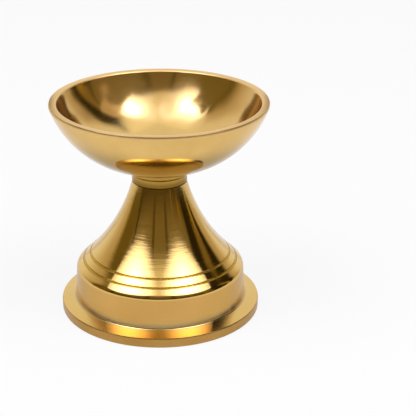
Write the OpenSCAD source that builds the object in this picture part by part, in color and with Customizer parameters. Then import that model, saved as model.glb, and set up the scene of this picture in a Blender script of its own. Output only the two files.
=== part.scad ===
// Footed brass diya: an open oil bowl on a hollow trumpet pedestal, held together by a stud,
// a washer and a nut inside the stem. Millimetres, +Z up, origin at the centre of the foot's underside.

/* [Bowl] */
// Outside diameter of the rim
bowl_d = 44.8; // [40:0.1:52]
// Height from the lowest point of the bowl's round underside to the rim
bowl_h = 14.1; // [12:0.1:16]
// Radius of the bowl's outside curve, seen in section
bowl_curve_r = 20.3; // [18:0.1:24]
// Width of the flat rim, before its inner edge is rounded
rim_w = 1.5; // [1:0.05:2.2]
// Rounding of the bowl's outside at the rim
rim_outer_round = 0.7; // [0.2:0.05:1]
// Direction of the outer rounding where the flat rim cuts it off, in degrees above level
rim_cut = 35; // [20:1:90]
// Rounding of the rim's inner edge
rim_inner_round = 0.45; // [0.1:0.05:0.6]
// Thickness of the bowl's floor
bowl_floor = 1.5; // [1.2:0.05:2.5]
// Height of the boss under the bowl
boss_h = 1.25; // [0.8:0.05:2.5]
// How far the boss stands out past the neck collar, each side
boss_step = 0.35; // [0:0.05:1]
// Rounding of the boss's lower edge
boss_round = 0.4; // [0.1:0.05:0.6]

/* [Pedestal] */
// Height of the neck collar
collar_h = 1.7; // [1.2:0.1:2.5]
// How far the collar stands out past the top of the stem, each side
collar_step = 0.05; // [0:0.05:0.5]
// Rounding of the collar's two edges
collar_round = 0.2; // [0.05:0.05:0.4]
// Diameter of the stem where it starts below the collar
stem_top_d = 11.35; // [10.5:0.05:14]
// Height of the stem, from the drum to the collar
stem_h = 18.75; // [15:0.05:25]
// Radius of the stem's hollow outside curve, seen in section
stem_curve_r = 36.7; // [30:0.1:45]
// Diameter of the drum where it meets the foot
drum_d = 35.9; // [32:0.1:42]
// Height of the drum, from the foot to the stem
drum_h = 6.95; // [5:0.05:10]
// How far the drum's side leans in towards its top
drum_taper = 0.32; // [0:0.02:0.6]
// Rounding of the corner between the stem and the drum
corner_round = 1.6; // [0.3:0.1:2]
// Width of the foot's ledge outside the drum
foot_ledge = 2.95; // [2:0.05:5]
// Thickness of the foot at its edge
foot_edge_h = 2.1; // [1.6:0.1:3]
// Rise of the foot's upper face from its edge to the drum
foot_rise = 0.55; // [0:0.05:0.8]
// Rounding of the inside corner between the drum and the foot
foot_fillet = 0.4; // [0.1:0.05:0.8]
// Rounding of the foot's edges
foot_round = 0.35; // [0.1:0.05:0.6]
// Width of the two turned grooves
groove_w = 0.5; // [0.3:0.05:0.8]
// Height of the lower groove above the drum's corner
groove_rise = 1.35; // [1:0.05:2]
// Height from the lower groove to the upper one
groove_pitch = 1.4; // [1:0.05:2.5]
// Width of the fine groove under the neck collar
neck_groove_w = 0.3; // [0.2:0.05:0.4]

/* [Hollow] */
// Wall of the hollow stem and drum
wall = 1.05; // [0.8:0.05:1.5]
// Width of the ring that the foot stands on
standing_w = 1.5; // [1.1:0.1:3]
// Depth of the recess inside the standing ring
recess_h = 1; // [0.4:0.1:1.2]

/* [Fixing] */
// Outside diameter of the stud's thread
thread_d = 5; // [4:0.1:5.5]
// Pitch of the thread
thread_pitch = 0.8; // [0.7:0.05:1]
// Depth of the thread
thread_depth = 0.45; // [0.3:0.05:0.5]
// Radial clearance between the stud's thread and the nut's
thread_gap = 0.15; // [0.12:0.01:0.2]
// Radial clearance of the stud in the neck and in the washer
stud_clearance = 0.2; // [0.1:0.05:0.4]
// Clearance round the stud in the bowl's boss, which braze fills
braze_gap = 0.05; // [0.02:0.01:0.1]
// Thickness of the bowl's floor left above the stud
stud_cover = 1; // [0.8:0.05:1.5]
// Length of stud that stands out below the nut
stud_tip = 0.8; // [0.4:0.1:1.5]
// Width of the nut across its flats
nut_flats = 8; // [7.5:0.1:9]
// Height of the nut
nut_h = 4; // [3:0.1:5]
// How far the washer stands out past the nut's corners
washer_rim = 0.3; // [0.1:0.05:0.8]
// Thickness of the washer
washer_t = 1; // [0.6:0.1:1.5]
// Clearance between the washer and the wall of the hollow stem
washer_room = 0.3; // [0.2:0.05:0.8]

/* [Hidden] */
$fn = 128;

// Small overlap that keeps joined and cut shapes from sharing a face
bite = 0.1;
// Facets round the thread, and steps along each of its turns
thread_sides = 16;
thread_steps = 10;

brass = [0.84, 0.66, 0.36];
brass_rough = [0.72, 0.55, 0.30];

// Heights, from the floor up
drum_z = foot_edge_h + foot_rise;
corner_z = drum_z + drum_h;
collar_z = corner_z + stem_h;
seat_z = collar_z + collar_h;
bowl_z = seat_z + boss_h;
floor_z = bowl_z + bowl_floor;
rim_z = bowl_z + bowl_h;

// Radii that follow from their neighbours
drum_top_r = drum_d / 2 - drum_taper;
foot_r = drum_d / 2 + foot_ledge;
collar_r = stem_top_d / 2 + collar_step;
boss_r = collar_r + boss_step;
drum_draft = drum_taper / drum_h;
foot_slope = foot_rise / foot_ledge;

// Foot: a circle that touches the drum's side and the foot's upper face rounds the corner between them
drum_face = unit([1, drum_draft]);
foot_face = unit([foot_slope, 1]);
foot_corner = [drum_d / 2, drum_z] + foot_fillet * (drum_face + foot_face) / (1 + drum_face * foot_face);

// Bowl: both dishes are flat in the middle and round at the side, and the rim's outer rounding touches
// the full diameter
outer_edge = [bowl_d / 2 - rim_outer_round, rim_z - rim_outer_round * sin(rim_cut)];
outer_centre_z = bowl_z + bowl_curve_r;
dish_flat = outer_edge.x - leg(bowl_curve_r - rim_outer_round, outer_edge.y - outer_centre_z);
outer_centre = [dish_flat, outer_centre_z];
inner_run = bowl_d / 2 - rim_w - dish_flat;
inner_depth = rim_z - floor_z;
inner_curve_r = (inner_run ^ 2 + inner_depth ^ 2) / (2 * inner_depth);
inner_centre = [dish_flat, floor_z + inner_curve_r];

// Stem: one arc from the collar down to the drum's corner, curving inwards
stem_top = [stem_top_d / 2, collar_z];
stem_centre = arc_centre(stem_top, [drum_top_r, corner_z], stem_curve_r);

// Fixing: the neck is solid down to where the hollow stem has room for the washer
nut_corner_r = nut_flats / 2 / cos(30);
washer_r = nut_corner_r + washer_rim;
neck_z = stem_centre.y - leg(stem_curve_r + wall, stem_centre.x - washer_r - washer_room);
washer_z = neck_z - washer_t;
nut_z = washer_z - nut_h;
stud_z = nut_z - stud_tip;
stud_top_z = floor_z - stud_cover;
stud_hole_r = thread_d / 2 + stud_clearance;

// Other short side of a right triangle
function leg(long, short) = sqrt(long ^ 2 - short ^ 2);

function unit(v) = v / norm(v);

// Centre of the arc of radius r from a down to b, on the outer side of the chord
function arc_centre(a, b, r) =
    let (half = (b - a) / 2)
    (a + b) / 2 + unit([-half.y, half.x]) * leg(r, norm(half));

// Section of a dish with its curve's centre at c: flat in the middle, round at the side, up to top
module dish(c, r, top) {
    intersection() {
        union() {
            translate(c) circle(r);
            translate([0, c.y - r]) square([max(c.x, 0), r]);
        }
        translate([0, c.y - r]) square([c.x + r, top - c.y + r]);
    }
}

// What rounding takes off an edge: outside the circle of radius r at c, between directions a and b
module edge_cut(c, r, a, b) {
    difference() {
        polygon([c, c + 2 * r * a, c + 3 * r * unit(a + b), c + 2 * r * b]);
        translate(c) circle(r);
    }
}

module rim_edges() {
    edge_cut(outer_edge, rim_outer_round, [cos(rim_cut), sin(rim_cut)], unit(outer_edge - outer_centre));
    z = rim_z - rim_inner_round;
    inner_edge = [dish_flat + leg(inner_curve_r + rim_inner_round, z - inner_centre.y), z];
    edge_cut(inner_edge, rim_inner_round, unit(inner_centre - inner_edge), [0, 1]);
}

// Boss that carries the bowl, from the seat up into the bowl's floor
module boss_section() {
    difference() {
        translate([0, seat_z]) square([boss_r, boss_h + bowl_floor - bite]);
        edge_cut([boss_r - boss_round, seat_z + boss_round], boss_round, [0, -1], [1, 0]);
    }
}

module bowl() {
    color(brass)
        difference() {
            rotate_extrude()
                difference() {
                    union() {
                        dish(outer_centre, bowl_curve_r, rim_z);
                        boss_section();
                    }
                    dish(inner_centre, inner_curve_r, rim_z + bite);
                    rim_edges();
                }
            translate([0, 0, seat_z - bite])
                cylinder(r = thread_d / 2 + braze_gap, h = stud_top_z + braze_gap - seat_z + bite);
        }
}

// Round of points at height z: a circle whose centre winds about the axis once each pitch
function thread_round(core, depth, z) =
    let (turn = 360 * z / thread_pitch)
    [
        for (i = [0 : thread_sides - 1])
            let (a = 360 * i / thread_sides)
            [
                (core + depth / 2) * cos(a) + depth / 2 * cos(turn),
                (core + depth / 2) * sin(a) + depth / 2 * sin(turn),
                z,
            ],
    ];

// Right-hand thread of core radius core from height z0 up to z1, with a plain pointed start if tip > 0.
// Threads of one pitch are in step wherever they start.
module thread(core, z0, z1, tip = 0) {
    step = thread_pitch / thread_steps;
    rows = ceil((z1 - z0 - tip) / step);
    heights = [for (k = [0 : rows]) min(z0 + tip + k * step, z1)];
    start = tip > 0 ? [thread_round(core, 0, z0)] : [];
    rounds = concat(start, [for (z = heights) thread_round(core, thread_depth, z)]);
    last = len(rounds) - 1;
    points = [for (round = rounds) each round];
    sides = [
        for (k = [0 : last - 1], i = [0 : thread_sides - 1])
            let (
                a = k * thread_sides + i,
                b = k * thread_sides + (i + 1) % thread_sides
            )
            each [[a, a + thread_sides, b], [b, a + thread_sides, b + thread_sides]],
    ];
    base = [for (i = [0 : thread_sides - 1]) i];
    top = [for (i = [thread_sides - 1 : -1 : 0]) last * thread_sides + i];
    polyhedron(points, concat([base], sides, [top]));
}

module bowl_stud() {
    color(brass_rough) thread(thread_d / 2 - thread_depth, stud_z, stud_top_z, stud_tip / 2);
}

// Outside of the neck, stem, drum and foot
module pedestal_section() {
    translate([0, collar_z - bite]) square([collar_r, collar_h + bite]);
    difference() {
        translate([0, corner_z]) square([drum_top_r, stem_h]);
        translate(stem_centre) circle(stem_curve_r);
    }
    polygon([
        [0, 0],
        [foot_r, 0],
        [foot_r, foot_edge_h],
        foot_corner - foot_fillet * foot_face,
        foot_corner - foot_fillet * drum_face,
        [drum_top_r, corner_z],
        [0, corner_z],
    ]);
}

// Centre of the circle that rounds the drum's corner: it touches the stem's arc and the drum's side
function corner_centre() =
    let (
        lean = norm([1, drum_draft]),
        gap = stem_centre.x - drum_top_r - drum_draft * corner_z + corner_round * lean,
        half_b = drum_draft * gap - stem_centre.y,
        c = gap ^ 2 + stem_centre.y ^ 2 - (stem_curve_r + corner_round) ^ 2,
        z = (-half_b - sqrt(half_b ^ 2 - lean ^ 2 * c)) / lean ^ 2
    )
    [stem_centre.x - gap - drum_draft * z, z];

// Rounded edges of the collar, the drum's corner and the foot
module pedestal_edges() {
    collar_edge_r = collar_r - collar_round;
    edge_cut([collar_edge_r, seat_z - collar_round], collar_round, [0, 1], [1, 0]);
    edge_cut([collar_edge_r, collar_z + collar_round], collar_round, [1, 0], [0, -1]);

    corner = corner_centre();
    edge_cut(corner, corner_round, unit(stem_centre - corner), drum_face);

    translate(foot_corner) circle(foot_fillet);
    foot_edge_r = foot_r - foot_round;
    foot_top_z = foot_edge_h + foot_round * (foot_slope - norm([1, foot_slope]));
    edge_cut([foot_edge_r, foot_top_z], foot_round, foot_face, [1, 0]);
    edge_cut([foot_edge_r, foot_round], foot_round, [1, 0], [0, -1]);
}

// Turned grooves: two on the lower stem and a fine one under the collar
module groove_section() {
    lower_z = corner_z + groove_rise;
    for (z = [lower_z, lower_z + groove_pitch])
        translate([stem_centre.x - leg(stem_curve_r, z - stem_centre.y), z]) circle(d = groove_w);
    translate(stem_top) circle(d = neck_groove_w);
}

// Hollow under the stem, drum and foot
module hollow_section() {
    inner_r = drum_d / 2 - wall;
    inner_top_r = drum_top_r - wall;
    intersection() {
        difference() {
            translate([0, -bite]) square([foot_r, neck_z + bite]);
            translate(stem_centre) circle(stem_curve_r + wall);
        }
        polygon([
            [0, -bite],
            [inner_r, -bite],
            [inner_r, drum_z],
            [inner_top_r, corner_z],
            [inner_top_r, neck_z],
            [0, neck_z],
        ]);
    }
    translate([0, -bite]) square([foot_r - standing_w, recess_h + bite]);
}

module pedestal() {
    color(brass)
        difference() {
            rotate_extrude()
                difference() {
                    pedestal_section();
                    pedestal_edges();
                    groove_section();
                    hollow_section();
                }
            translate([0, 0, neck_z - bite]) cylinder(r = stud_hole_r, h = seat_z - neck_z + 2 * bite);
        }
}

module washer() {
    color(brass_rough)
        translate([0, 0, washer_z])
            difference() {
                cylinder(r = washer_r, h = washer_t);
                translate([0, 0, -bite]) cylinder(r = stud_hole_r, h = washer_t + 2 * bite);
            }
}

// Hexagon nut with its corners turned off at both ends
module nut() {
    chamfer = nut_corner_r - nut_flats / 2;
    color(brass_rough)
        difference() {
            translate([0, 0, nut_z])
                intersection() {
                    cylinder(r = nut_corner_r, h = nut_h, $fn = 6);
                    union() {
                        cylinder(r1 = nut_flats / 2, r2 = nut_corner_r, h = chamfer);
                        translate([0, 0, chamfer]) cylinder(r = nut_corner_r, h = nut_h - 2 * chamfer);
                        translate([0, 0, nut_h - chamfer])
                            cylinder(r1 = nut_corner_r, r2 = nut_flats / 2, h = chamfer);
                    }
                }
            thread(thread_d / 2 - thread_depth + thread_gap, nut_z - bite, washer_z + bite);
        }
}

bowl();
bowl_stud();
pedestal();
washer();
nut();
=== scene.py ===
"""Looks of the footed brass diya: finely turned surfaces, brass, floor, studio light and camera."""
import math

import bpy
from mathutils import Matrix, Vector


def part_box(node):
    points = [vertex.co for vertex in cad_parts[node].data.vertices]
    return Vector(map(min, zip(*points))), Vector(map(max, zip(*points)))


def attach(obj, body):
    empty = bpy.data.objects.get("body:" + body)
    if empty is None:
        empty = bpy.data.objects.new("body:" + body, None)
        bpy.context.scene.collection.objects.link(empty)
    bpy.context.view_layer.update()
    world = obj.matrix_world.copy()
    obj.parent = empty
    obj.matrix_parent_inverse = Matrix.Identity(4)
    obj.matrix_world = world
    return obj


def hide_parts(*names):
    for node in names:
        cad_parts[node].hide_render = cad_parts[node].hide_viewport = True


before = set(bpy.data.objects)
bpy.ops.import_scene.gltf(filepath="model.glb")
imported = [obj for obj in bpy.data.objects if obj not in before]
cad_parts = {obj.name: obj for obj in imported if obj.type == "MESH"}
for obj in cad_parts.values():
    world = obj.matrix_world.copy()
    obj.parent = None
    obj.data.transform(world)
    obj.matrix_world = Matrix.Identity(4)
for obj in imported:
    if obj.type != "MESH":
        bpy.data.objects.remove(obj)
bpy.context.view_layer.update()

MM = 0.001

# Fineness: facets round the lamp, the stud and the nut, steps in one pitch of thread and in a small edge,
# largest turn of an arc between two points in degrees, and the gap in which two points count as one
SIDES = 192
STUD_SIDES = 48
NUT_SIDES = 96
THREAD_STEPS = 24
EDGE_STEPS = 8
ARC_STEP = 1.5
STEM_STEP = 0.5
SAME_POINT = 0.0001

# Bowl, in millimetres as in the part's source; heights and outer radii come from the frame
bowl_low, bowl_high = (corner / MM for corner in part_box("bowl"))
rim_r, rim_z, seat_z = bowl_high.x, bowl_high.z, bowl_low.z
bowl_h = 14.1
bowl_z = rim_z - bowl_h
bowl_curve_r = 20.3
rim_w = 1.5
rim_outer_round = 0.7
rim_cut = 35
rim_inner_round = 0.45
floor_t = 1.5
floor_z = bowl_z + floor_t
boss_r = 6.075
boss_round = 0.4

# Pedestal, with angles in degrees
foot_r = (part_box("pedestal")[1] / MM).x
collar_r = 5.725
collar_round = 0.2
collar_h = 1.7
collar_z = seat_z - collar_h
neck_groove_r = 0.15
neck_groove_ends = (70, 255)
stem_top_r = 5.675
stem_centre = (41.1433, 37.7783)
stem_curve_r = 36.7
drum_r = 17.95
drum_z = 2.65
drum_draft = 0.32 / 6.95
corner_round = 1.6
groove_r = 0.25
groove_heights = (12.35, 10.95)
foot_edge_h = 2.1
foot_slope = 0.55 / 2.95
foot_fillet = 0.4
foot_round = 0.35
foot_lip = 0.5
foot_cut = 40
wall = 1.05
standing_w = 1.5
recess_h = 1
neck_z = (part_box("washer")[1] / MM).z

# Stud, nut and their holes
stud_low, stud_high = (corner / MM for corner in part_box("bowl_stud"))
nut_low, nut_high = (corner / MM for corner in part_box("nut"))
thread_pitch = 0.8
thread_depth = 0.45
thread_r = 2.5
thread_gap = 0.15
stud_tip = 0.4
nut_end_cut = 0.06
braze_gap = 0.05
neck_gap = 0.2
boss_hole_r = thread_r + braze_gap
neck_hole_r = thread_r + neck_gap


def leg(long, short):
    """Other short side of a right triangle."""
    return math.sqrt(long ** 2 - short ** 2)


def angle_from(centre, point):
    """Direction in degrees from one point of the section to another."""
    return math.degrees(math.atan2(point[1] - centre[1], point[0] - centre[0]))


def arc(centre, radius, start, end, step=ARC_STEP):
    """Points of an arc in the section between two directions in degrees, both ends included."""
    count = max(2, math.ceil(abs(end - start) / step))
    turns = [math.radians(start + (end - start) * i / count) for i in range(count + 1)]
    return [(centre[0] + radius * math.cos(a), centre[1] + radius * math.sin(a)) for a in turns]


def edge_arc(centre, radius, start, end):
    """Rounded edge or groove of the section, in a few steps."""
    return arc(centre, radius, start, end, abs(end - start) / EDGE_STEPS)


def stem_r(z, wall_in=0.0):
    """Radius of the stem's curve at height z, or of its hollow's."""
    return stem_centre[0] - leg(stem_curve_r + wall_in, z - stem_centre[1])


def drum_corner(side_r, curve_r, rounding):
    """Centre of a circle that touches the drum's side and the stem's curve from inside the metal."""
    lean = math.hypot(1, drum_draft)
    gap = stem_centre[0] - side_r - drum_draft * drum_z + rounding * lean
    half_b = drum_draft * gap - stem_centre[1]
    c = gap ** 2 + stem_centre[1] ** 2 - (curve_r + rounding) ** 2
    z = (-half_b - math.sqrt(half_b ** 2 - lean ** 2 * c)) / lean ** 2
    return stem_centre[0] - gap - drum_draft * z, z


def bowl_section():
    """Stretches of the bowl's section, from the axis inside round the rim to the axis under the boss."""
    outer_edge = (rim_r - rim_outer_round, rim_z - rim_outer_round * math.sin(math.radians(rim_cut)))
    centre_z = bowl_z + bowl_curve_r
    flat_r = outer_edge[0] - leg(bowl_curve_r - rim_outer_round, outer_edge[1] - centre_z)
    outer_centre = (flat_r, centre_z)
    depth = rim_z - floor_z
    inner_r = ((rim_r - rim_w - flat_r) ** 2 + depth ** 2) / (2 * depth)
    inner_centre = (flat_r, floor_z + inner_r)
    edge_z = rim_z - rim_inner_round
    inner_edge = (flat_r + leg(inner_r + rim_inner_round, edge_z - inner_centre[1]), edge_z)
    lip = angle_from(inner_centre, inner_edge)
    brim = angle_from(outer_centre, outer_edge)
    boss_meets = -math.degrees(math.acos((boss_r - flat_r) / bowl_curve_r))
    inside = [(0, floor_z), *arc(inner_centre, inner_r, -90, lip)]
    rim = [*edge_arc(inner_edge, rim_inner_round, lip + 180, 90),
           *edge_arc(outer_edge, rim_outer_round, rim_cut, brim)]
    outside = arc(outer_centre, bowl_curve_r, brim, boss_meets)
    boss = edge_arc((boss_r - boss_round, seat_z + boss_round), boss_round, 0, -90)
    hole_top = stud_high.z + braze_gap
    hole = [(boss_hole_r, seat_z), (boss_hole_r, hole_top), (0, hole_top)]
    return [(inside, "inside"), (rim, "rim"), (outside, "polished"), (boss, "neck"), (hole, "hidden")]


def groove(z):
    """Round groove cut into the stem's curve at height z, from its upper lip to its lower one."""
    centre = (stem_r(z), z)
    inward = angle_from(stem_centre, centre) % 360
    return edge_arc(centre, groove_r, inward - 90, inward + 90)


def stem_arc(top_z, low_z):
    """Stretch of the stem's curve between two heights."""
    ends = [angle_from(stem_centre, (stem_r(z), z)) % 360 for z in (top_z, low_z)]
    return arc(stem_centre, stem_curve_r, *ends, step=STEM_STEP)


def pedestal_section():
    """Stretches of the pedestal's section: down its outside, then up through its hollow to the neck."""
    collar = [*edge_arc((collar_r - collar_round, seat_z - collar_round), collar_round, 90, 0),
              *edge_arc((stem_top_r, collar_z), neck_groove_r, *neck_groove_ends)]
    corner = drum_corner(drum_r, stem_curve_r, corner_round)
    draft = math.degrees(drum_draft)
    shoulder = edge_arc(corner, corner_round, angle_from(corner, stem_centre), draft)
    upper, lower = groove_heights
    stem_low = stem_centre[1] - leg(stem_curve_r, stem_centre[0] - shoulder[0][0])
    stem = [(stem_arc(collar_z - neck_groove_r, upper + groove_r), "outside"), (groove(upper), "groove"),
            (stem_arc(upper - groove_r, lower + groove_r), "outside"), (groove(lower), "groove"),
            (stem_arc(lower - groove_r, stem_low), "outside")]
    face = 90 - math.degrees(math.atan(foot_slope))
    side_way = Vector((1, drum_draft)).normalized()
    face_way = Vector((foot_slope, 1)).normalized()
    fillet_shift = foot_fillet * (side_way + face_way) / (1 + side_way.dot(face_way))
    fillet_centre = Vector((drum_r, drum_z)) + fillet_shift
    fillet = edge_arc(fillet_centre, foot_fillet, 180 + draft, 180 + face)
    lip_in = foot_lip * (1 - math.cos(math.radians(foot_cut)))
    lip_z = foot_edge_h + lip_in * foot_slope - foot_lip * math.sin(math.radians(foot_cut))
    lip = edge_arc((foot_r - foot_lip, lip_z), foot_lip, foot_cut, 0)
    side = edge_arc((foot_r - foot_round, foot_round), foot_round, 0, -90)
    ring_r = foot_r - standing_w
    hollow_r = drum_r - wall
    hollow_low = drum_corner(hollow_r, stem_curve_r + wall, 0)
    hollow_high = (stem_r(neck_z, wall), neck_z)
    ends = [angle_from(stem_centre, point) % 360 for point in (hollow_low, hollow_high)]
    hollow = [(ring_r, 0), (ring_r, recess_h), (hollow_r, recess_h), (hollow_r, drum_z),
              *arc(stem_centre, stem_curve_r + wall, *ends)]
    hole = [(neck_hole_r, neck_z), (neck_hole_r, seat_z)]
    return [(collar, "neck"), *stem, (shoulder, "shoulder"), (fillet, "satin"), (lip[:1], "ledge"),
            ([*lip[1:], *side], "edge"), (hollow, "hidden"), (hole, "hidden")]


def circle(count):
    """Equal turns round a circle, in radians."""
    return [2 * math.pi * i / count for i in range(count)]


def new_mesh(name, points, faces, sharp=30):
    """Object from points in millimetres, smooth except across edges sharper than an angle in degrees."""
    mesh = bpy.data.meshes.new(name)
    mesh.from_pydata([(x * MM, y * MM, z * MM) for x, y, z in points], [], faces)
    mesh.polygons.foreach_set("use_smooth", [True] * len(mesh.polygons))
    mesh.set_sharp_from_angle(angle=math.radians(sharp))
    mesh.update()
    piece = bpy.data.objects.new(name, mesh)
    bpy.context.scene.collection.objects.link(piece)
    return piece


def lathe(name, stretches, materials):
    """Piece turned about Z from stretches of its section, each with the name of its material."""
    section, finish = [], []
    for points, material in stretches:
        for point in points:
            if not section or math.dist(section[-1], point) > SAME_POINT:
                section.append(point)
                finish.append(material)
    closed = section[-1][0] > 0
    points, rings = [], []
    for r, z in section:
        turns = circle(SIDES) if r > 0 else [0]
        rings.append(range(len(points), len(points) + len(turns)))
        points += [(r * math.cos(a), r * math.sin(a), z) for a in turns]
    faces, slots = [], []
    used = list(dict.fromkeys(finish))
    for k in range(len(rings) if closed else len(rings) - 1):
        a, b = rings[k], rings[(k + 1) % len(rings)]
        for i in range(SIDES):
            j = (i + 1) % SIDES
            corners = [a[i % len(a)], b[i % len(b)], b[j % len(b)], a[j % len(a)]]
            faces.append(list(dict.fromkeys(corners)))
            slots.append(used.index(finish[(k + 1) % len(rings)]))
    piece = new_mesh(name, points, faces)
    for material in used:
        piece.data.materials.append(materials[material])
    piece.data.polygons.foreach_set("material_index", slots)
    return piece


def thread_round(z, radius, offset, sides):
    """One round of a right-hand thread: a circle whose centre winds about the axis once each pitch."""
    wind = 2 * math.pi * z / thread_pitch
    x, y = offset * math.cos(wind), offset * math.sin(wind)
    return [(x + radius * math.cos(a), y + radius * math.sin(a), z) for a in circle(sides)]


def band(low, high, sides):
    """Faces between two rounds of points, each given by its first: outward if high lies above low."""
    pairs = [(i, (i + 1) % sides) for i in range(sides)]
    return [[low + i, low + j, high + j, high + i] for i, j in pairs]


def stud_mesh(name):
    """Stud with its thread and a tapered tip."""
    core = thread_r - thread_depth
    offset = thread_depth / 2
    start_z = stud_low.z + stud_tip
    count = math.ceil((stud_high.z - start_z) / thread_pitch * THREAD_STEPS)
    heights = [min(start_z + k * thread_pitch / THREAD_STEPS, stud_high.z) for k in range(count + 1)]
    points = thread_round(stud_low.z, core, 0, STUD_SIDES)
    for z in heights:
        points += thread_round(z, core + offset, offset, STUD_SIDES)
    last = len(points) - STUD_SIDES
    faces = [list(range(STUD_SIDES))[::-1], list(range(last, len(points)))]
    for first in range(0, last, STUD_SIDES):
        faces += band(first, first + STUD_SIDES, STUD_SIDES)
    return new_mesh(name, points, faces, sharp=50)


def nut_mesh(name):
    """Hexagon nut with its corners turned off at both ends, and the stud's thread in its hole."""
    turns = circle(NUT_SIDES)
    flat_r = nut_high.x * math.cos(math.pi / 6)
    hexagon = [flat_r / math.cos(a % (math.pi / 3) - math.pi / 6) for a in turns]
    end_r = flat_r - nut_end_cut
    offset = thread_depth / 2
    bore_r = thread_r - offset + thread_gap
    count = math.ceil((nut_high.z - nut_low.z) / thread_pitch * THREAD_STEPS)
    points = []
    for k in range(count + 1):
        z = nut_low.z + (nut_high.z - nut_low.z) * k / count
        points += thread_round(z, bore_r, offset, NUT_SIDES)
    points += [(end_r * math.cos(a), end_r * math.sin(a), nut_high.z) for a in turns]
    points += [(r * math.cos(a), r * math.sin(a), nut_high.z - r + end_r) for a, r in zip(turns, hexagon)]
    points += [(r * math.cos(a), r * math.sin(a), nut_low.z + r - end_r) for a, r in zip(turns, hexagon)]
    points += [(end_r * math.cos(a), end_r * math.sin(a), nut_low.z) for a in turns]
    faces = []
    for first in range(0, len(points), NUT_SIDES):
        faces += band((first + NUT_SIDES) % len(points), first, NUT_SIDES)
    return new_mesh(name, points, faces, sharp=40)


# Textures of the brass: scales per metre, and lengths in metres
LINE_SCALE = 3500
LINE_DRIFT = 0.0012
BLOTCH_SCALE = 110
SWELL_SCALE = 90
SWELL_SEED = 17.37
CAST_BLOTCH_SCALE = 160
GRAIN_SCALE = 1400
GRAIN_DEPTH = 0.00008


def add_node(tree, kind, inputs=None, **settings):
    """New node with settings, whose sockets, by name or number, take a value or another node's output."""
    made = tree.nodes.new(kind)
    for key, value in settings.items():
        setattr(made, key, value)
    for key, value in (inputs or {}).items():
        if isinstance(value, bpy.types.NodeSocket):
            tree.links.new(value, made.inputs[key])
        else:
            made.inputs[key].default_value = value
    return made


def new_material(name):
    """Material with an empty node tree but for its output."""
    material = bpy.data.materials.new(name)
    material.use_nodes = True
    tree = material.node_tree
    tree.nodes.remove(tree.nodes["Principled BSDF"])
    return material, tree, tree.nodes["Material Output"].inputs["Surface"]


def mix_colour(tree, share, first, second):
    """Colour between two others, by a share from another node."""
    mixed = add_node(tree, "ShaderNodeMix", {"Factor": share, "A": first, "B": second}, data_type="RGBA")
    return mixed.outputs["Result"]


def turning_lines(tree, coords, scale):
    """Noise in rings round the Z axis that changes slowly along them, as a lathe tool leaves it."""
    split = add_node(tree, "ShaderNodeSeparateXYZ", {0: coords})
    x, y, z = (split.outputs[axis] for axis in "XYZ")
    flat = add_node(tree, "ShaderNodeCombineXYZ", {0: x, 1: y})
    radius = add_node(tree, "ShaderNodeVectorMath", {0: flat.outputs[0]}, operation="LENGTH")
    turn = add_node(tree, "ShaderNodeMath", {0: y, 1: x}, operation="ARCTAN2")
    drift = add_node(tree, "ShaderNodeMath", {0: turn.outputs[0], 1: LINE_DRIFT}, operation="MULTIPLY")
    ring = add_node(tree, "ShaderNodeCombineXYZ", {0: radius.outputs["Value"], 1: z, 2: drift.outputs[0]})
    lines = add_node(tree, "ShaderNodeTexNoise", {
        "Vector": ring.outputs[0], "Scale": scale, "Detail": 3, "Roughness": 0.65})
    return lines.outputs["Fac"]


def turned_brass(name, light, dark, roughness, line_depth, anisotropy, waves=0.0, painted_shade=None,
                 lines=LINE_SCALE):
    """Brass turned on a lathe: rings of fine tool lines in its gloss and bump, and slow changes of tone.

    Waves is the height of slow unevenness; the next argument gives two heights and the colour of painted
    shade that the tone darkens to between them, and lines the scale of the tool lines.
    """
    material, tree, surface = new_material(name)
    coords = add_node(tree, "ShaderNodeTexCoord").outputs["Object"]
    rings = turning_lines(tree, coords, lines)
    blotch = add_node(tree, "ShaderNodeTexNoise", {"Vector": coords, "Scale": BLOTCH_SCALE, "Detail": 4})
    tone = add_node(tree, "ShaderNodeMapRange", {
        "Value": blotch.outputs["Fac"], "From Min": 0.3, "From Max": 0.7})
    colour = mix_colour(tree, tone.outputs["Result"], (*dark, 1), (*light, 1))
    # Painted shade: the colour darkens between two heights to stand for shade, not for a change in the
    # brass itself
    if painted_shade:
        high, low, shade_tone = painted_shade
        z = add_node(tree, "ShaderNodeSeparateXYZ", {0: coords}).outputs["Z"]
        share = add_node(tree, "ShaderNodeMapRange", {
            "Value": z, "From Min": high, "From Max": low}, interpolation_type="SMOOTHSTEP")
        colour = mix_colour(tree, share.outputs["Result"], colour, (*shade_tone, 1))
    gloss = add_node(tree, "ShaderNodeMapRange", {
        "Value": rings, "From Min": 0.25, "From Max": 0.75, "To Min": roughness[0], "To Max": roughness[1]})
    swell = add_node(tree, "ShaderNodeTexNoise", {
        "Vector": coords, "W": SWELL_SEED, "Scale": SWELL_SCALE, "Detail": 1}, noise_dimensions="4D")
    uneven = add_node(tree, "ShaderNodeBump", {
        "Height": swell.outputs["Fac"], "Strength": 1, "Distance": waves})
    relief = add_node(tree, "ShaderNodeBump", {
        "Height": rings, "Strength": 1, "Distance": line_depth, "Normal": uneven.outputs["Normal"]})
    round_z = add_node(tree, "ShaderNodeTangent", direction_type="RADIAL", axis="Z")
    shader = add_node(tree, "ShaderNodeBsdfPrincipled", {
        "Base Color": colour, "Metallic": 1, "Roughness": gloss.outputs["Result"],
        "Anisotropic": anisotropy, "Anisotropic Rotation": 0.25, "Normal": relief.outputs["Normal"],
        "Tangent": round_z.outputs["Tangent"]})
    tree.links.new(shader.outputs["BSDF"], surface)
    return material


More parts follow.
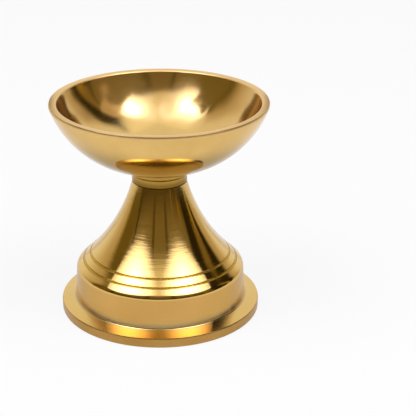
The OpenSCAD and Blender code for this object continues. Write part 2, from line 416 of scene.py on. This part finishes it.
def cast_brass(name, light, dark):
    """Unpolished brass inside the hollow: dull, grainy and unevenly toned."""
    material, tree, surface = new_material(name)
    coords = add_node(tree, "ShaderNodeTexCoord").outputs["Object"]
    grain = add_node(tree, "ShaderNodeTexNoise", {"Vector": coords, "Scale": GRAIN_SCALE, "Detail": 5})
    blotch = add_node(tree, "ShaderNodeTexNoise", {
        "Vector": coords, "Scale": CAST_BLOTCH_SCALE, "Detail": 3})
    colour = mix_colour(tree, blotch.outputs["Fac"], (*dark, 1), (*light, 1))
    gloss = add_node(tree, "ShaderNodeMapRange", {
        "Value": grain.outputs["Fac"], "To Min": 0.38, "To Max": 0.6})
    relief = add_node(tree, "ShaderNodeBump", {
        "Height": grain.outputs["Fac"], "Strength": 1, "Distance": GRAIN_DEPTH})
    shader = add_node(tree, "ShaderNodeBsdfPrincipled", {
        "Base Color": colour, "Metallic": 1, "Roughness": gloss.outputs["Result"],
        "Normal": relief.outputs["Normal"]})
    tree.links.new(shader.outputs["BSDF"], surface)
    return material


# Finish of each stretch of the sections, and of the machined stud, washer and nut, some with painted shade;
# lengths in metres
BRASS_LIGHT = (0.73, 0.485, 0.15)
BRASS_DARK = (0.68, 0.445, 0.13)
FINISHES = {
    "inside": {"light": (0.75, 0.505, 0.185), "dark": (0.7, 0.46, 0.16), "roughness": (0.12, 0.18),
               "line_depth": 0.000003, "anisotropy": 0.3, "waves": 0.0012},
    "outside": {"light": BRASS_LIGHT, "dark": BRASS_DARK, "roughness": (0.08, 0.13),
                "line_depth": 0.00002, "anisotropy": 0.9, "lines": 1500},
    # Bowl's outside: painted shade darkens it towards its underside, in place of the shade under the bowl
    # and the dark pedestal that it mirrors
    "polished": {"light": (0.8, 0.53, 0.178), "dark": (0.7, 0.455, 0.138), "roughness": (0.06, 0.1),
                 "line_depth": 0.000003, "anisotropy": 0.6, "painted_shade": (0.042, 0.036, (0.41, 0.262, 0.045))},
    "rim": {"light": (0.78, 0.52, 0.2), "dark": (0.73, 0.48, 0.175), "roughness": (0.32, 0.4),
            "line_depth": 0.000003, "anisotropy": 0},
    "shoulder": {"light": BRASS_LIGHT, "dark": BRASS_DARK, "roughness": (0.04, 0.07),
                 "line_depth": 0.000002, "anisotropy": 0.2},
    # Drum: its deeper tone is partly a duller brass and partly painted shade of the shadowed floor that it
    # mirrors; painted shade also darkens its foot in the crease at the ledge
    "satin": {"light": (0.67, 0.4, 0.112), "dark": (0.6, 0.35, 0.09), "roughness": (0.12, 0.18),
              "line_depth": 0.000008, "anisotropy": 1, "painted_shade": (0.0048, 0.0027, (0.52, 0.37, 0.15))},
    "ledge": {"light": (0.715, 0.475, 0.145), "dark": (0.675, 0.44, 0.13), "roughness": (0.1, 0.14),
              "line_depth": 0.000006, "anisotropy": 1},
    # Foot's outer edge: dull brass whose dark tone is painted shade of the shadowed floor beside the lamp
    # that it mirrors
    "edge": {"light": (0.52, 0.3, 0.085), "dark": (0.44, 0.25, 0.06), "roughness": (0.25, 0.35),
             "line_depth": 0.00001, "anisotropy": 0.6},
    # Neck collar and the bowl's boss: their dark tone is painted shade under the bowl, and painted shade
    # darkens the collar further down towards the groove at its foot
    "neck": {"light": (0.46, 0.275, 0.055), "dark": (0.4, 0.23, 0.042), "roughness": (0.18, 0.26),
             "line_depth": 0.00002, "anisotropy": 0.5, "painted_shade": (0.0298, 0.0287, (0.24, 0.14, 0.022))},
    "groove": {"light": (0.6, 0.39, 0.055), "dark": (0.5, 0.31, 0.04), "roughness": (0.22, 0.3),
               "line_depth": 0.000008, "anisotropy": 0},
    "machined": {"light": (0.62, 0.42, 0.16), "dark": (0.55, 0.36, 0.13), "roughness": (0.22, 0.34),
                 "line_depth": 0.000008, "anisotropy": 0.4},
}
brass = {name: turned_brass(f"brass_{name}", **finish) for name, finish in FINISHES.items()}
brass["hidden"] = cast_brass("brass_cast", light=(0.52, 0.33, 0.12), dark=(0.36, 0.22, 0.08))


def place(piece, body, node):
    """Sets a piece in place of a CAD node, on that node's body, and hides the node."""
    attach(piece, body)
    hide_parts(node)


place(lathe("bowl_turned", bowl_section(), brass), "bowl", "bowl")
place(lathe("pedestal_turned", pedestal_section(), brass), "pedestal", "pedestal")
stud = stud_mesh("stud_threaded")
stud.data.materials.append(brass["machined"])
place(stud, "bowl", "bowl_stud")
nut = nut_mesh("nut_threaded")
nut.data.materials.append(brass["machined"])
place(nut, "nut", "nut")
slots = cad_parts["washer"].data.materials
slots.clear()
slots.append(brass["machined"])

# Studio, in metres and degrees: azimuth 0 is the camera's side of the lamp, and positive is to its right
ROOM_R = 1.5
CARD_R = 0.027
CARD_STEPS = 24
SOFT_BOX_DISTANCE = 0.8
SOFT_BOX_SIDES = 48
SOFT_BOX_CORE = 0.05
SOFT_BOX_SPREAD = 24.5
SOFT_BOX_STRENGTH = 6.5
SOFT_BOX_EDGE = 1.4
SOFT_BOX_COLOUR = (0.97, 0.97, 1.2)
FLOOR_HALF = 3
FLOOR_PAPER = (0.8, 0.79, 0.72)
FLOOR_WHITE_SEEN = 0.85
FLOOR_WHITE_MIRRORED = 0.4
FILL_LIGHT = 0.3

# Colours of the room
WHITE = (1, 1, 1)
CEILING = (1.2, 1.2, 1.15)
DUSK = (0.62, 0.52, 0.38)
FRONT_LOW = (0.06, 0.036, 0.002)
FRONT_HIGH = (0.23, 0.18, 0.085)
FRONT_PALE = (0.9, 0.86, 0.75)
LEFT_WALL = (0.17, 0.13, 0.03)
RIGHT_WALL = (0.03, 0.022, 0.003)

# Where one of them gives way to the next: by elevation for those that rise, by azimuth for the others
FRONT_RISE = (2, 29)
FRONT_PALE_RISE = (47, 56)
LEFT_RISE = (44, 54)
RIGHT_RISE = (56, 64)
CEILING_RISE = (55, 72)
LEFT_START = (-70, -78)
LEFT_DUSK = (-97, -111)
LEFT_WHITE = (-108, -142)
RIGHT_START = (72, 78)
RIGHT_DUSK = (105, 116)
RIGHT_DUSK_LEAN = 0.45
RIGHT_WHITE = (124, 142)

# Upright things in the room: azimuth, half width, lowest and highest elevation, colour
UPRIGHTS = (
    (100, 9, 15, 38, (0.25, 0.18, 0.065)),
    (102, 5, -10, 17, (0.42, 0.28, 0.05)),
    (63, 5, 11, 23, (0.3, 0.19, 0.01)),
    (41, 3, 4, 36, (0.24, 0.18, 0.06)),
    (18, 5, 14, 48, (0.11, 0.08, 0.02)),
    (-18, 5, 14, 48, (0.11, 0.08, 0.02)),
    (-68, 4, 8, 46, (0.07, 0.05, 0.008)),
)
UPRIGHT_CORE = 0.3
UPRIGHT_LOW_BLUR = 2
UPRIGHT_HIGH_BLUR = 3


def studio_point(azimuth, elevation, distance):
    """Point round the lamp, in metres."""
    a, e = math.radians(azimuth), math.radians(elevation)
    return Vector((math.sin(a) * math.cos(e), -math.cos(a) * math.cos(e), math.sin(e))) * distance


def stage_mesh(name, points, faces, material):
    """Object of the studio, from points in metres."""
    mesh = bpy.data.meshes.new(name)
    mesh.from_pydata(points, [], faces)
    mesh.materials.append(material)
    made = bpy.data.objects.new(name, mesh)
    bpy.context.scene.collection.objects.link(made)
    return made


def grid(columns, rows):
    """Faces of a sheet whose points lie row by row."""
    firsts = [row * (columns + 1) + column for row in range(rows) for column in range(columns)]
    return [(first, first + 1, first + columns + 2, first + columns + 1) for first in firsts]


def shine(tree, surface, inputs):
    """Gives a material a surface that sends out light."""
    glow = add_node(tree, "ShaderNodeEmission", inputs)
    tree.links.new(glow.outputs["Emission"], surface)


def only_in_metal(made):
    """Leaves an object of the studio to the metal: camera, matt surfaces and shadows don't show it."""
    made.visible_camera = False
    made.visible_diffuse = False
    made.visible_shadow = False


def ease(value, start, end):
    """Smooth step from 0 at start to 1 at end."""
    t = min(max((value - start) / (end - start), 0), 1)
    return t * t * (3 - 2 * t)


def blend(a, b, share):
    """Colour between two others."""
    return [x + (y - x) * share for x, y in zip(a, b)]


def room_tone(azimuth, elevation):
    """Colour of the room one way: brown in front of the lamp, olive on its left, black on its right."""
    front = blend(FRONT_LOW, FRONT_HIGH, ease(elevation, *FRONT_RISE))
    front = blend(front, FRONT_PALE, ease(elevation, *FRONT_PALE_RISE))
    left = blend(LEFT_WALL, DUSK, ease(azimuth, *LEFT_DUSK))
    left = blend(left, WHITE, max(ease(elevation, *LEFT_RISE), ease(azimuth, *LEFT_WHITE)))
    right = blend(RIGHT_WALL, DUSK, ease(azimuth - RIGHT_DUSK_LEAN * elevation, *RIGHT_DUSK))
    right = blend(right, WHITE, max(ease(elevation, *RIGHT_RISE), ease(azimuth, *RIGHT_WHITE)))
    tone = blend(front, left, ease(azimuth, *LEFT_START))
    tone = blend(tone, right, ease(azimuth, *RIGHT_START))
    for middle, half_width, low, high, colour in UPRIGHTS:
        across = 1 - ease(abs(azimuth - middle), UPRIGHT_CORE * half_width, half_width)
        above = ease(elevation, low - UPRIGHT_LOW_BLUR, low + UPRIGHT_LOW_BLUR)
        below = ease(elevation, high + UPRIGHT_HIGH_BLUR, high - UPRIGHT_HIGH_BLUR)
        tone = blend(tone, colour, across * above * below)
    return blend(tone, CEILING, ease(elevation, *CEILING_RISE))


def room(azimuths, elevations, step):
    """Dim side of the room that only the metal shows: a part of a sphere, toned point by point."""
    columns = round((azimuths[1] - azimuths[0]) / step)
    rows = round((elevations[1] - elevations[0]) / step)
    spots = [(azimuths[0] + column * step, elevations[0] + row * step)
             for row in range(rows + 1) for column in range(columns + 1)]
    material, tree, surface = new_material("room_glow")
    tone = add_node(tree, "ShaderNodeVertexColor", layer_name="tone")
    shine(tree, surface, {"Color": tone.outputs["Color"]})
    points = [studio_point(*spot, ROOM_R) for spot in spots]
    made = stage_mesh("room", points, grid(columns, rows), material)
    tones = made.data.color_attributes.new("tone", "FLOAT_COLOR", "POINT")
    tones.data.foreach_set("color", [value for spot in spots for value in (*room_tone(*spot), 1)])
    only_in_metal(made)


def card(name, azimuths, heights, colour, radius=CARD_R):
    """Dim card beside the bowl that only the metal shows: an upright part of a cylinder round the lamp."""
    start, end = azimuths
    turns = [math.radians(start + (end - start) * i / CARD_STEPS) for i in range(CARD_STEPS + 1)]
    points = [(radius * math.sin(a), -radius * math.cos(a), z) for z in heights for a in turns]
    material, tree, surface = new_material(name)
    shine(tree, surface, {"Color": (*colour, 1)})
    only_in_metal(stage_mesh(name, points, grid(CARD_STEPS, 1), material))


def soft_box(name, azimuth, elevation):
    """Round lamp that faces the middle of the floor and is brightest in its own middle."""
    radius = SOFT_BOX_DISTANCE * math.tan(math.radians(SOFT_BOX_SPREAD))
    material, tree, surface = new_material(name)
    coords = add_node(tree, "ShaderNodeTexCoord").outputs["Object"]
    out = add_node(tree, "ShaderNodeVectorMath", {0: coords}, operation="LENGTH")
    fall = add_node(tree, "ShaderNodeMapRange", {
        "Value": out.outputs["Value"], "From Min": SOFT_BOX_CORE * radius, "From Max": radius,
        "To Min": SOFT_BOX_STRENGTH, "To Max": SOFT_BOX_EDGE}, interpolation_type="SMOOTHSTEP")
    shine(tree, surface, {"Color": (*SOFT_BOX_COLOUR, 1), "Strength": fall.outputs["Result"]})
    points = [(radius * math.cos(a), radius * math.sin(a), 0) for a in circle(SOFT_BOX_SIDES)]
    lamp = stage_mesh(name, points, [range(SOFT_BOX_SIDES)], material)
    lamp.location = studio_point(azimuth, elevation, SOFT_BOX_DISTANCE)
    lamp.rotation_euler = lamp.location.to_track_quat("Z", "Y").to_euler()
    lamp.visible_camera = False


def largest(tree, first, *others):
    """Largest of several outputs."""
    for other in others:
        first = add_node(tree, "ShaderNodeMath", {0: first, 1: other}, operation="MAXIMUM").outputs[0]
    return first


def floor():
    """Pale floor that takes the lamp's shadow, and is nearly white to the camera."""
    material, tree, surface = new_material("floor_white")
    paper = add_node(tree, "ShaderNodeBsdfDiffuse", {"Color": (*FLOOR_PAPER, 1)})
    white = add_node(tree, "ShaderNodeEmission", {"Color": (*WHITE, 1)})
    path = add_node(tree, "ShaderNodeLightPath").outputs
    mirrored = largest(tree, path["Is Glossy Ray"], path["Is Transmission Ray"])
    seen = add_node(tree, "ShaderNodeMath", {0: mirrored, 1: FLOOR_WHITE_MIRRORED}, operation="MULTIPLY")
    seen = add_node(tree, "ShaderNodeMath", {
        0: path["Is Camera Ray"], 1: FLOOR_WHITE_SEEN, 2: seen.outputs[0]}, operation="MULTIPLY_ADD")
    ground = add_node(tree, "ShaderNodeMixShader", {
        0: seen.outputs[0], 1: paper.outputs[0], 2: white.outputs[0]})
    tree.links.new(ground.outputs["Shader"], surface)
    corners = ((-1, -1), (1, -1), (1, 1), (-1, 1))
    points = [(x * FLOOR_HALF, y * FLOOR_HALF, 0) for x, y in corners]
    stage_mesh("floor", points, [(0, 1, 2, 3)], material)


def white_world():
    """World that is white to the camera and in the metal, and a dimmer fill light for the rest."""
    world = bpy.data.worlds.new("studio")
    world.use_nodes = True
    tree = world.node_tree
    path = add_node(tree, "ShaderNodeLightPath").outputs
    seen = largest(tree, path["Is Camera Ray"], path["Is Glossy Ray"], path["Is Transmission Ray"])
    level = add_node(tree, "ShaderNodeMapRange", {"Value": seen, "To Min": FILL_LIGHT, "To Max": 1})
    background = tree.nodes["Background"].inputs
    tree.links.new(level.outputs["Result"], background["Strength"])
    background["Color"].default_value = (*WHITE, 1)
    return world


room(azimuths=(-144, 144), elevations=(-4, 90), step=1)
card("card_right", azimuths=(42, 122), heights=(0.046, 0.081), colour=(0.22, 0.165, 0.07))
card("card_right_high", azimuths=(98, 142), heights=(0.062, 0.084), colour=(0.6, 0.47, 0.34), radius=0.0265)
card("card_left", azimuths=(-122, -73), heights=(0.046, 0.088), colour=(0.2, 0.155, 0.05))
soft_box("soft_box_left", azimuth=-61, elevation=59)
soft_box("soft_box_right", azimuth=57, elevation=61)
floor()
scene = bpy.context.scene
scene.view_settings.view_transform = "Standard"
scene.world = white_world()

# Camera at the photograph's angle: its distance, height angle and roll come from a fit to the rim and foot
CAMERA_TARGET = Vector((0, 0, 0.0224))
CAMERA_DISTANCE = 0.2787
CAMERA_ELEVATION = 22.507
CAMERA_ROLL = -0.39
away = Matrix.Rotation(math.radians(-CAMERA_ELEVATION), 3, "X") @ Vector((0, -CAMERA_DISTANCE, 0))
camera = bpy.data.objects.new("camera", bpy.data.cameras.new("camera"))
scene.collection.objects.link(camera)
camera.matrix_world = (Matrix.Translation(CAMERA_TARGET + away)
                       @ (-away).to_track_quat("-Z", "Y").to_matrix().to_4x4()
                       @ Matrix.Rotation(math.radians(CAMERA_ROLL), 4, "Z"))
camera.data.lens = 115.47
camera.data.shift_x = 0.116
camera.data.shift_y = -0.0063
camera.data.clip_start = 0.01
scene.camera = camera
